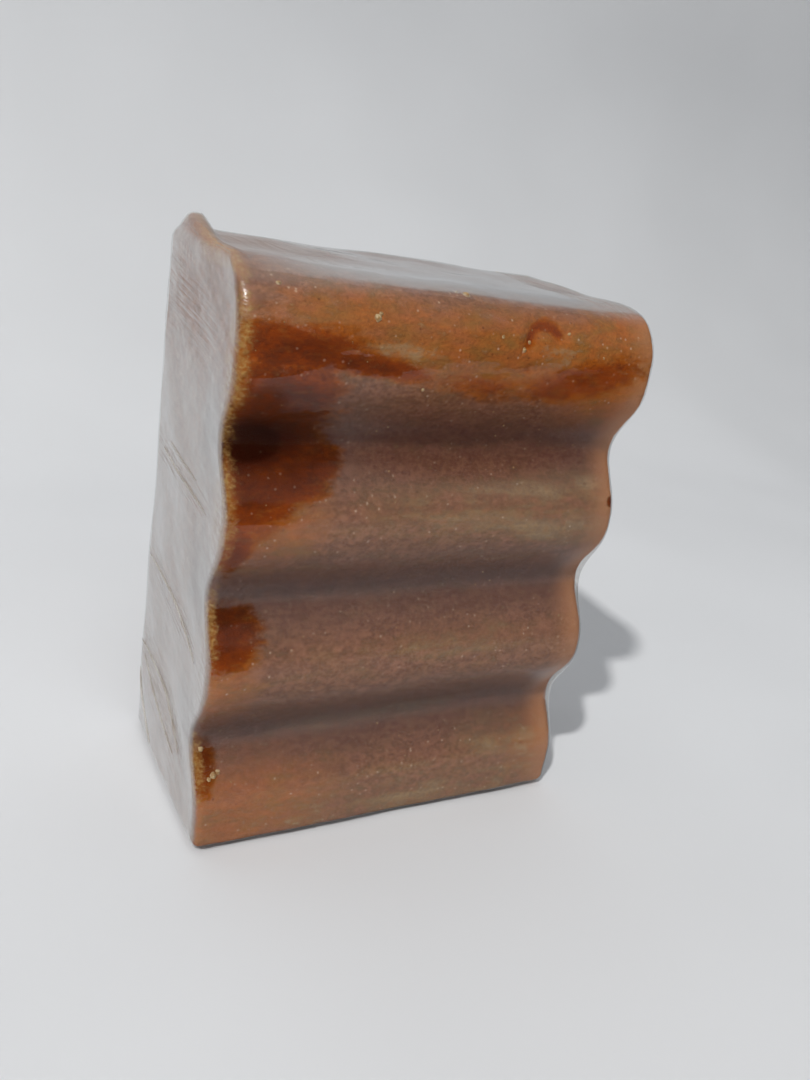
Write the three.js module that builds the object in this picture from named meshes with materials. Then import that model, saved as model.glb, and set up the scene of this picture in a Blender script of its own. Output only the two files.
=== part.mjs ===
// A block of jaggery, cast with rounded lobes across its front and shrink-wrapped in clear film.
// It stands on one short end. The solid is the wrapped block, out to the film.
// Millimetres, +Z up, the lobed front faces -Y. Origin: the middle of the base.
import * as THREE from "three";
import { mergeVertices } from "three/addons/utils/BufferGeometryUtils.js";

// Driving dimensions
const WIDTH = 81.8;
const DEPTH = 45.2; // lobe crests to back
const HEIGHT = 107; // base to the flat of the top, at the left end
const TOP_FALL = 1.3; // the top is this much lower at the right end
const LOBE_PITCH = 28.4; // one lobe, groove to groove
const LOWEST_GROOVE = 21.9; // the bottom lobe is a short one
const GROOVE_COUNT = 3;
const GROOVE_DEPTH = 5.5;
const GROOVE_SHARPNESS = 1.3; // above 1 the crests are broader than the grooves
const NOSE_RADIUS = 11.2; // front of the top lobe, rolling over into the top face
const EDGE_RADIUS = 2.2; // every other edge

// The top lobe's left end, worn back
const WORN_CORNER = { depth: 2.5, reach: 15.5, low: 82, high: 97 };

// A burr by the left end of the top, which holds the film up in a blunt peak. It runs from the middle of
// the end's edge to the back, where it is highest and furthest from the end.
const BURR = { height: 2.6, halfWidth: 2.4, frontInset: 0.4, backInset: 4.5, frontShare: 0.12 };
const BURR_CREST = 1.2; // half the breadth of its blunt crest

// The hand-poured faces are uneven by about this much
const FRONT_UNEVENNESS = 0.34;
const BACK_UNEVENNESS = 0.5;
const END_UNEVENNESS = 0.3;
const TOP_UNEVENNESS = 0.3;

// How finely the surface is divided
const EDGE_STEPS = 3; // across each rounded edge
const WIDTH_STEPS = 13;
const DEPTH_STEPS = 5;
const HEIGHT_STEPS = 52;

const halfWidth = WIDTH / 2;
const halfDepth = DEPTH / 2;
const halfHeight = HEIGHT / 2;

// Lattice planes from -half to half: close ones where the edges turn, even ones between, and extra ones.
function latticePlanes(half, evenSteps, extra = []) {
  const planes = [];
  for (let k = 0; k < EDGE_STEPS; k++) {
    const angle = (Math.PI / 4) * (1 - k / EDGE_STEPS);
    const inset = EDGE_RADIUS * (1 - Math.tan(angle));
    planes.push(-half + inset, half - inset);
  }
  const inner = half - EDGE_RADIUS;
  for (let k = 0; k <= evenSteps; k++) planes.push(-inner + (2 * inner * k) / evenSteps);
  return [...planes, ...extra].sort((a, b) => a - b);
}

// Moves a point of the plain box in so that the box's edges are round.
function roundEdges(point) {
  const inner = new THREE.Vector3(halfWidth, halfDepth, halfHeight).subScalar(EDGE_RADIUS);
  const nearest = point.clone().clamp(inner.clone().negate(), inner);
  return point.sub(nearest).setLength(EDGE_RADIUS).add(nearest);
}

// 1 at the middle of a groove, easing to 0 at the crests beside it.
function grooveShare(z) {
  let share = 0;
  for (let k = 0; k < GROOVE_COUNT; k++) {
    const away = Math.abs(z - (LOWEST_GROOVE + k * LOBE_PITCH)) / (LOBE_PITCH / 2);
    if (away < 1) share = Math.pow((1 + Math.cos(Math.PI * away)) / 2, GROOVE_SHARPNESS);
  }
  return share;
}

// How far the rounded nose of the top lobe has turned back at height z.
function noseSetback(z) {
  const above = Math.min(Math.max(z - (HEIGHT - NOSE_RADIUS), 0), NOSE_RADIUS);
  return NOSE_RADIUS - Math.sqrt(NOSE_RADIUS ** 2 - above ** 2);
}

// How far the worn left end of the top lobe is set back.
function wornSetback(x, z) {
  const along = 1 - THREE.MathUtils.smoothstep(x + halfWidth, 0, WORN_CORNER.reach);
  return WORN_CORNER.depth * along * THREE.MathUtils.smoothstep(z, WORN_CORNER.low, WORN_CORNER.high);
}

// A slow wander from about -1 to 1 over a face.
function wander(a, b, phase) {
  const broad = Math.sin(a / 6.1 + 1.2 * Math.sin(b / 9.3 + phase));
  const cross = Math.sin(b / 4.7 + a / 11.9 + 2.1 * phase);
  const fine = Math.sin(a / 2.9 - b / 3.7 + 3.3 * phase);
  return 0.5 * broad + 0.3 * cross + 0.2 * fine;
}

// The burr's height over the flat of the top.
function burrHeight(x, y) {
  const inset = THREE.MathUtils.mapLinear(Math.max(y, 0), 0, halfDepth, BURR.frontInset, BURR.backInset);
  const across = (x + halfWidth - inset) / BURR.halfWidth;
  const along = THREE.MathUtils.smoothstep(y, -halfDepth, halfDepth);
  return BURR.height * Math.exp(-(across ** 4)) * THREE.MathUtils.lerp(BURR.frontShare, 1, along ** 2);
}

// How far the top has sunk at x, from the left end to the right.
function topFall(x) {
  return TOP_FALL * (x / WIDTH + 0.5);
}

// Gives a point of the rounded box its place on the cast block. z is counted from the base.
function castShape(point) {
  const { x, y } = point;
  const z = point.z + halfHeight;
  const toEnd = (x / halfWidth) ** 3;
  const toBack = Math.max(y / halfDepth, 0) ** 3;
  const toTop = Math.max((2 * z) / HEIGHT - 1, 0) ** 6;
  const front = FRONT_UNEVENNESS * wander(x, z, 0.4) * Math.min(z / EDGE_RADIUS, 1);
  const setback = GROOVE_DEPTH * grooveShare(z) + noseSetback(z) + wornSetback(x, z) + front;
  const castY = halfDepth - (halfDepth - y) * (1 - setback / DEPTH);
  return new THREE.Vector3(
    x + END_UNEVENNESS * toEnd * wander(y, z, 1.7),
    castY + BACK_UNEVENNESS * toBack * wander(x, z, 2.9),
    z + toTop * (TOP_UNEVENNESS * wander(x, y, 4.3) + burrHeight(x, castY) - topFall(x)),
  );
}

function blockGeometry() {
  const crest = BURR.backInset - halfWidth;
  const xPlanes = latticePlanes(halfWidth, WIDTH_STEPS, [crest - BURR_CREST, crest, crest + BURR_CREST]);
  const yPlanes = latticePlanes(halfDepth, DEPTH_STEPS);
  const zPlanes = latticePlanes(halfHeight, HEIGHT_STEPS);
  const [nx, ny, nz] = [xPlanes.length - 1, yPlanes.length - 1, zPlanes.length - 1];
  const lattice = new THREE.BoxGeometry(nx, ny, nz, nx, ny, nz);
  lattice.deleteAttribute("normal");
  lattice.deleteAttribute("uv");
  const geometry = mergeVertices(lattice);
  const position = geometry.getAttribute("position");
  for (let i = 0; i < position.count; i++) {
    const point = new THREE.Vector3(
      xPlanes[Math.round(position.getX(i) + nx / 2)],
      yPlanes[Math.round(position.getY(i) + ny / 2)],
      zPlanes[Math.round(position.getZ(i) + nz / 2)],
    );
    position.setXYZ(i, ...castShape(roundEdges(point)));
  }
  // The unevenness moves the outermost points a little, so the middle of the base is found again.
  geometry.computeBoundingBox();
  const middle = geometry.boundingBox.getCenter(new THREE.Vector3());
  geometry.translate(-middle.x, -middle.y, 0);
  geometry.computeVertexNormals();
  return geometry;
}

const jaggery = new THREE.MeshStandardMaterial({ color: 0x8a5a3c, roughness: 0.3, metalness: 0 });

const block = new THREE.Mesh(blockGeometry(), jaggery);
block.name = "jaggery_block";

const group = new THREE.Group();
group.add(block);

export default group;
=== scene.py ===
"""Looks of a block of jaggery in clear shrink film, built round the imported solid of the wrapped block.

Blender works in metres, +Z up, and the lobed front faces -Y. Sizes and node trees here count in millimetres,
which suit a block of this size, and the last step of each tree brings its mesh to metres.
"""

import logging
import math
from dataclasses import asdict, dataclass
from enum import Enum

import bpy
from mathutils import Matrix, Vector

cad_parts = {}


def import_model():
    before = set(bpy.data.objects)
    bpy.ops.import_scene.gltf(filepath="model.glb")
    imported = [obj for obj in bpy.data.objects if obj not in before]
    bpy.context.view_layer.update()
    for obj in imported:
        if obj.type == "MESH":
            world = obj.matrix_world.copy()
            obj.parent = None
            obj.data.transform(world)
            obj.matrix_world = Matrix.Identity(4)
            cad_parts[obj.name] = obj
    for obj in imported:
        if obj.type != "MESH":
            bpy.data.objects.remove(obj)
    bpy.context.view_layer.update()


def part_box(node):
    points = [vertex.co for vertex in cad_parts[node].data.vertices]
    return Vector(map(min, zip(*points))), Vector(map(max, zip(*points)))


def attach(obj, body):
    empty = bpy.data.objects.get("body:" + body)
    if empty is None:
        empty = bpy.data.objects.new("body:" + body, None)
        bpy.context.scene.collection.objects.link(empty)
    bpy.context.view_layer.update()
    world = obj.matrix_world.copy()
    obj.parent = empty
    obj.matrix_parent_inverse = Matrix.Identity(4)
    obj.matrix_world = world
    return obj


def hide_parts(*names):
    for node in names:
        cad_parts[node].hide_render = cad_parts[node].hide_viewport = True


MM = 0.001
NODE = "jaggery_block"

log = logging.getLogger("jaggery")


class Slot(Enum):
    """The two things that every piece is one of."""

    JAGGERY = "jaggery"
    FILM = "clear_film"


Colour = tuple[float, float, float]
Triple = tuple[float, float, float]


class Wiring:
    """Adds nodes to one tree and joins them."""

    def __init__(self, tree: bpy.types.NodeTree) -> None:
        """Keeps the tree that the nodes go into."""
        self.tree = tree

    def feed(self, socket: bpy.types.NodeSocket, value: object) -> None:
        """Joins a field or an output to an input, or sets the input's own value.

        Args:
            socket: the input.
            value: a Field, an output socket, or a plain value.
        """
        source = value.socket if isinstance(value, Field) else value
        if isinstance(source, bpy.types.NodeSocket):
            self.tree.links.new(source, socket)
        else:
            socket.default_value = source

    def add(
        self, kind: str, feeds: dict[int | str, object] | None = None, **settings: object
    ) -> bpy.types.Node:
        """Adds one node.

        Args:
            kind: the node's type.
            feeds: what goes to its inputs, by name or number.
            settings: the node's own options.

        Returns:
            The node.
        """
        node = self.tree.nodes.new(kind)
        for name, value in settings.items():
            setattr(node, name, value)
        for key, value in (feeds or {}).items():
            self.feed(node.inputs[key], value)
        return node

    def split(self, vector: bpy.types.NodeSocket) -> tuple["Field", "Field", "Field"]:
        """Returns a vector's three numbers."""
        outputs = self.add("ShaderNodeSeparateXYZ", {0: vector}).outputs
        return Field(self, outputs[0]), Field(self, outputs[1]), Field(self, outputs[2])

    def vector(self, x: object, y: object, z: object) -> bpy.types.NodeSocket:
        """Returns a vector made of three numbers."""
        return self.add("ShaderNodeCombineXYZ", {0: x, 1: y, 2: z}).outputs[0]

    def scaled(self, vector: bpy.types.NodeSocket, by: Triple) -> bpy.types.NodeSocket:
        """Returns a vector with each of its numbers multiplied."""
        return self.add("ShaderNodeVectorMath", {0: vector, 1: by}, operation="MULTIPLY").outputs[0]

    def along(self, vector: bpy.types.NodeSocket, distance: "Field") -> bpy.types.NodeSocket:
        """Returns a vector stretched by a distance."""
        return self.add("ShaderNodeVectorMath", {0: vector, "Scale": distance}, operation="SCALE").outputs[0]

    def noise(
        self, place: bpy.types.NodeSocket, grain: Triple, detail: float = 2.0, rough: float = 0.5
    ) -> "Field":
        """Returns soft noise from 0 to 1.

        Args:
            place: the point, in millimetres.
            grain: the size of a blotch along X, Y and Z, in millimetres.
            detail: how many finer layers it has.
            rough: how strong they are.
        """
        scaled = self.scaled(place, tuple(1.0 / size for size in grain))
        feeds = {"Vector": scaled, "Scale": 1.0, "Detail": detail, "Roughness": rough}
        return Field(self, self.add("ShaderNodeTexNoise", feeds).outputs["Fac"])

    def mottle(self, place: bpy.types.NodeSocket, grain: Triple, detail: float = 2.0) -> "Field":
        """Returns noise round 0, mostly between -1 and 1.

        Args:
            place: the point, in millimetres.
            grain: the size of a blotch along X, Y and Z, in millimetres.
            detail: how many finer layers it has.
        """
        return (self.noise(place, grain, detail, 0.6) - 0.5) * 4.0

    def cells(self, place: bpy.types.NodeSocket, size: float) -> tuple["Field", "Field"]:
        """Returns the distance to the middle of the nearest of many scattered cells, and that cell's number.

        Args:
            place: the point, in millimetres.
            size: how far apart the cells are, in millimetres.
        """
        node = self.add("ShaderNodeTexVoronoi", {"Vector": place, "Scale": 1.0 / size})
        return Field(self, node.outputs["Distance"]) * size, self.split(node.outputs["Color"])[0]


class Field:
    """A number that a tree works out at each point, with the signs of plain arithmetic."""

    def __init__(self, wiring: Wiring, socket: bpy.types.NodeSocket) -> None:
        """Keeps the tree's wiring and the output that gives the number."""
        self.wiring = wiring
        self.socket = socket

    def _sum(self, operation: str, *values: object, clamp: bool = False) -> "Field":
        """Returns the result of one arithmetic node."""
        feeds = dict(enumerate(values))
        node = self.wiring.add("ShaderNodeMath", feeds, operation=operation, use_clamp=clamp)
        return Field(self.wiring, node.outputs[0])

    def __add__(self, other: object) -> "Field":
        """Returns the sum."""
        return self._sum("ADD", self, other)

    __radd__ = __add__

    def __sub__(self, other: object) -> "Field":
        """Returns the difference."""
        return self._sum("SUBTRACT", self, other)

    def __rsub__(self, other: object) -> "Field":
        """Returns the difference the other way round."""
        return self._sum("SUBTRACT", other, self)

    def __mul__(self, other: object) -> "Field":
        """Returns the product."""
        return self._sum("MULTIPLY", self, other)

    __rmul__ = __mul__

    def __truediv__(self, other: object) -> "Field":
        """Returns the quotient."""
        return self._sum("DIVIDE", self, other)

    def __pow__(self, power: object) -> "Field":
        """Returns the power."""
        return self._sum("POWER", self, power)

    def __abs__(self) -> "Field":
        """Returns the size without the sign."""
        return self._sum("ABSOLUTE", self)

    def least(self, other: object) -> "Field":
        """Returns the smaller of the two."""
        return self._sum("MINIMUM", self, other)

    def most(self, other: object) -> "Field":
        """Returns the larger of the two."""
        return self._sum("MAXIMUM", self, other)

    def sine(self) -> "Field":
        """Returns the sine."""
        return self._sum("SINE", self)

    def cosine(self) -> "Field":
        """Returns the cosine."""
        return self._sum("COSINE", self)

    def root(self) -> "Field":
        """Returns the square root."""
        return self._sum("SQRT", self)

    def bell(self) -> "Field":
        """Returns 1 at 0, falling to nothing on both sides."""
        return self._sum("EXPONENT", self * self * -1.0)

    def clamped(self) -> "Field":
        """Returns the number held between 0 and 1."""
        return self._sum("ADD", self, 0.0, clamp=True)

    def ease(self, start: object, end: object) -> "Field":
        """Returns 0 up to start, 1 from end on, and a smooth change between them."""
        feeds = {"Value": self, "From Min": start, "From Max": end}
        node = self.wiring.add("ShaderNodeMapRange", feeds, interpolation_type="SMOOTHSTEP")
        return Field(self.wiring, node.outputs[0])

    def between(self, low: object, high: object) -> "Field":
        """Returns low where this is 0 and high where it is 1."""
        return self * (high - low) + low


class MeshTree:
    """A Geometry Nodes tree with named numbers, run once to give a plain mesh."""

    def __init__(self, name: str, sizes: dict[str, float]) -> None:
        """Makes the empty tree.

        Args:
            name: the tree's name.
            sizes: its named inputs, in millimetres, with the values that they get.
        """
        self.tree = bpy.data.node_groups.new(name, "GeometryNodeTree")
        self.wiring = Wiring(self.tree)
        face = self.tree.interface
        face.new_socket(name="Geometry", in_out="INPUT", socket_type="NodeSocketGeometry")
        face.new_socket(name="Geometry", in_out="OUTPUT", socket_type="NodeSocketGeometry")
        self.values = {}
        for title, value in sizes.items():
            socket = face.new_socket(name=title, in_out="INPUT", socket_type="NodeSocketFloat")
            self.values[socket.identifier] = float(value)
        self.entry = self.wiring.add("NodeGroupInput")
        self.sizes = {title: Field(self.wiring, self.entry.outputs[title]) for title in sizes}

    def position(self) -> bpy.types.NodeSocket:
        """Returns each point's place."""
        return self.wiring.add("GeometryNodeInputPosition").outputs[0]

    def normal(self) -> bpy.types.NodeSocket:
        """Returns each point's outward direction."""
        return self.wiring.add("GeometryNodeInputNormal").outputs[0]

    def keep(self, geometry: bpy.types.NodeSocket, name: str, value: Field | float) -> bpy.types.NodeSocket:
        """Returns the geometry with a number kept on its points, for a material to read."""
        node = self.wiring.add("GeometryNodeStoreNamedAttribute", {"Geometry": geometry, "Name": name})
        self.wiring.feed(node.inputs["Value"], value)
        return node.outputs[0]

    def finish(self, geometry: bpy.types.NodeSocket, material: bpy.types.Material) -> None:
        """Brings the geometry to metres, smooths it, and gives it its material.

        Args:
            geometry: the finished geometry, in millimetres.
            material: its material.
        """
        add = self.wiring.add
        smooth = add("GeometryNodeSetShadeSmooth", {"Geometry": geometry})
        metres = add("GeometryNodeTransform", {"Geometry": smooth.outputs[0], "Scale": (MM, MM, MM)})
        real = add("GeometryNodeRealizeInstances", {"Geometry": metres.outputs[0]})
        dressed = add("GeometryNodeSetMaterial", {"Geometry": real.outputs[0], "Material": material})
        add("NodeGroupOutput", {"Geometry": dressed.outputs[0]})

    def run(self, name: str, start: bpy.types.Mesh | None = None) -> bpy.types.Object:
        """Runs the tree on a start mesh, in millimetres.

        Args:
            name: the name of the object that it gives.
            start: the mesh that the tree starts from, if it needs one.

        Returns:
            An object at the origin with the plain mesh that the tree made.
        """
        mesh = start or bpy.data.meshes.new(name)
        piece = bpy.data.objects.new(name, mesh)
        bpy.context.scene.collection.objects.link(piece)
        modifier = piece.modifiers.new(self.tree.name, "NODES")
        modifier.node_group = self.tree
        for identifier, value in self.values.items():
            modifier[identifier] = value
        shown = bpy.context.evaluated_depsgraph_get()
        made = bpy.data.meshes.new_from_object(
            piece.evaluated_get(shown), preserve_all_data_layers=True, depsgraph=shown
        )
        piece.modifiers.remove(modifier)
        piece.data = made
        made.name = name
        bpy.data.meshes.remove(mesh)
        return piece


@dataclass(frozen=True)
class CastSizes:
    """Sizes of the wrapped block, in millimetres, as its solid has them."""

    width: float = 81.8
    depth: float = 45.2
    height: float = 107.0
    top_fall: float = 1.3
    lobe_pitch: float = 28.4
    lowest_groove: float = 21.9
    groove_depth: float = 5.5
    groove_sharpness: float = 1.3
    nose_radius: float = 11.2
    edge_radius: float = 2.2
    worn_depth: float = 2.5
    worn_reach: float = 15.5
    worn_low: float = 82.0
    worn_high: float = 97.0
    burr_height: float = 2.6
    burr_half_width: float = 2.4
    burr_front_inset: float = 0.4
    burr_back_inset: float = 4.5
    burr_front_share: float = 0.12
    front_unevenness: float = 0.34
    back_unevenness: float = 0.5
    end_unevenness: float = 0.3
    top_unevenness: float = 0.3


@dataclass(frozen=True)
class Lattice:
    """How many points a block has along X, Y and Z."""

    across: int
    deep: int
    high: int


class CastShape:
    """Gives the points of a plain box their place on the cast block, in a tree with the cast sizes."""

    GROOVES = 3

    def __init__(self, tree: MeshTree, sizes: CastSizes) -> None:
        """Keeps the tree, and its inputs by the names of the sizes."""
        self.tree = tree
        self.wiring = tree.wiring
        self.size = {name: tree.sizes[title(name)] for name in asdict(sizes)}

    def box(self, sizes: CastSizes, lattice: Lattice) -> bpy.types.NodeSocket:
        """Returns the plain box, cut into a lattice."""
        wiring, size = self.wiring, self.size
        feeds = {
            "Size": wiring.vector(size["width"], size["depth"], size["height"]),
            "Vertices X": lattice.across,
            "Vertices Y": lattice.deep,
            "Vertices Z": lattice.high,
        }
        return wiring.add("GeometryNodeMeshCube", feeds).outputs[0]

    def rounded(self) -> tuple[Field, Field, Field]:
        """Returns the place of each point of the box after its edges are rounded."""
        radius = self.size["edge_radius"]
        spans = (self.size["width"], self.size["depth"], self.size["height"])
        inner, away = [], []
        for number, span in zip(self.wiring.split(self.tree.position()), spans):
            reach = span * 0.5 - radius
            held = number.least(reach).most(reach * -1.0)
            inner.append(held)
            away.append(number - held)
        length = (away[0] * away[0] + away[1] * away[1] + away[2] * away[2]).root()
        share = radius / length
        x, y, z = (held + step * share for held, step in zip(inner, away))
        return x, y, z

    def groove_share(self, z: Field) -> Field:
        """Returns 1 in the middle of a groove and 0 at the crests beside it."""
        pitch, lowest = self.size["lobe_pitch"], self.size["lowest_groove"]
        away = abs(z - lowest)
        for number in range(1, self.GROOVES):
            away = away.least(abs(z - (lowest + pitch * float(number))))
        turn = (away / (pitch * 0.5)).least(1.0) * math.pi
        return ((turn.cosine() + 1.0) * 0.5) ** self.size["groove_sharpness"]

    def nose_setback(self, z: Field) -> Field:
        """Returns how far the rounded nose of the top lobe has turned back."""
        radius = self.size["nose_radius"]
        above = (z - (self.size["height"] - radius)).most(0.0).least(radius)
        return radius - (radius * radius - above * above).most(0.0).root()

    def worn_setback(self, x: Field, z: Field) -> Field:
        """Returns how far the worn left end of the top lobe is set back."""
        size = self.size
        along = 1.0 - (x + size["width"] * 0.5).ease(0.0, size["worn_reach"])
        return size["worn_depth"] * along * z.ease(size["worn_low"], size["worn_high"])

    def burr(self, x: Field, y: Field) -> Field:
        """Returns the height of the burr by the left end of the top."""
        size = self.size
        half = size["depth"] * 0.5
        inset = (y.most(0.0) / half) * (size["burr_back_inset"] - size["burr_front_inset"])
        across = (x + size["width"] * 0.5 - inset - size["burr_front_inset"]) / size["burr_half_width"]
        along = y.ease(half * -1.0, half)
        share = size["burr_front_share"]
        return size["burr_height"] * (across * across).bell() * (along * along * (1.0 - share) + share)

    @staticmethod
    def wander(a: Field, b: Field, phase: float) -> Field:
        """Returns a slow wander from about -1 to 1 over a face."""
        broad = (a / 6.1 + (b / 9.3 + phase).sine() * 1.2).sine()
        cross = (b / 4.7 + a / 11.9 + 2.1 * phase).sine()
        fine = (a / 2.9 - b / 3.7 + 3.3 * phase).sine()
        return broad * 0.5 + cross * 0.3 + fine * 0.2

    def cast(self, bridged: Field | float = 0.0) -> bpy.types.NodeSocket:
        """Returns each point's place on the block, its base at height 0.

        Args:
            bridged: the share of each groove's depth that the surface spans without going in.
        """
        size = self.size
        x, y, centred = self.rounded()
        half_width, half_depth = size["width"] * 0.5, size["depth"] * 0.5
        z = centred + size["height"] * 0.5
        end = x / half_width
        to_end = end * end * end
        to_back = (y / half_depth).most(0.0) ** 3.0
        to_top = (z * 2.0 / size["height"] - 1.0).most(0.0) ** 6.0
        front = size["front_unevenness"] * self.wander(x, z, 0.4) * (z / size["edge_radius"]).least(1.0)
        groove = size["groove_depth"] * self.groove_share(z) * (1.0 - bridged)
        setback = groove + self.nose_setback(z) + self.worn_setback(x, z) + front
        cast_y = half_depth - (half_depth - y) * (1.0 - setback / size["depth"])
        rise = size["top_unevenness"] * self.wander(x, y, 4.3) + self.burr(x, cast_y)
        rise = rise - size["top_fall"] * (x / size["width"] + 0.5)
        return self.wiring.vector(
            x + size["end_unevenness"] * to_end * self.wander(y, z, 1.7),
            cast_y + size["back_unevenness"] * to_back * self.wander(x, z, 2.9),
            z + to_top * rise,
        )


def title(name: str) -> str:
    """Returns a size's name as a tree's input shows it."""
    return name.replace("_", " ").capitalize()


def linear(code: str) -> Colour:
    """Returns the linear colour of a hex code."""
    parts = [int(code[i : i + 2], 16) / 255 for i in (0, 2, 4)]
    red, green, blue = (v / 12.92 if v <= 0.04045 else ((v + 0.055) / 1.055) ** 2.4 for v in parts)
    return red, green, blue


def new_material(name: str) -> tuple[bpy.types.Material, Wiring, bpy.types.NodeSocket]:
    """Makes an empty node material.

    Args:
        name: the material's name.

    Returns:
        The material, its wiring, and each point's place in millimetres.
    """
    material = bpy.data.materials.new(name)
    material.use_nodes = True
    material.node_tree.nodes.clear()
    wiring = Wiring(material.node_tree)
    place = wiring.add("ShaderNodeTexCoord").outputs["Object"]
    return material, wiring, wiring.scaled(place, (1 / MM, 1 / MM, 1 / MM))


def tinted(wiring: Wiring, share: object, under: object, over: object) -> bpy.types.NodeSocket:
    """Returns one colour laid over another.

    Args:
        wiring: the material's wiring.
        share: how much of the upper colour shows.
        under: the lower colour, a triple or an output.
        over: the upper colour, a triple or an output.
    """
    colours = [(*colour, 1.0) if isinstance(colour, tuple) else colour for colour in (under, over)]
    feeds = {0: share, 6: colours[0], 7: colours[1]}
    return wiring.add("ShaderNodeMix", feeds, data_type="RGBA", blend_type="MIX").outputs[2]


def kept(wiring: Wiring, name: str) -> Field:
    """Returns, in a material, a number that the mesh keeps on its points."""
    return Field(wiring, wiring.add("ShaderNodeAttribute", attribute_name=name).outputs["Fac"])


def clinging(wiring: Wiring, place: bpy.types.NodeSocket) -> Field:
    """Returns, in a material, 1 where the film clings to the sugar and 0 where air lies between.

    Args:
        wiring: the material's wiring.
        place: each point's place, in millimetres.
    """
    ragged = wiring.mottle(place, (5.0, 5.0, 2.4)) * 0.45 + wiring.mottle(place, (0.9, 0.9, 0.6)) * 0.15
    return (kept(wiring, "film_contact") + ragged).ease(-0.3, 0.42)


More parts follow.
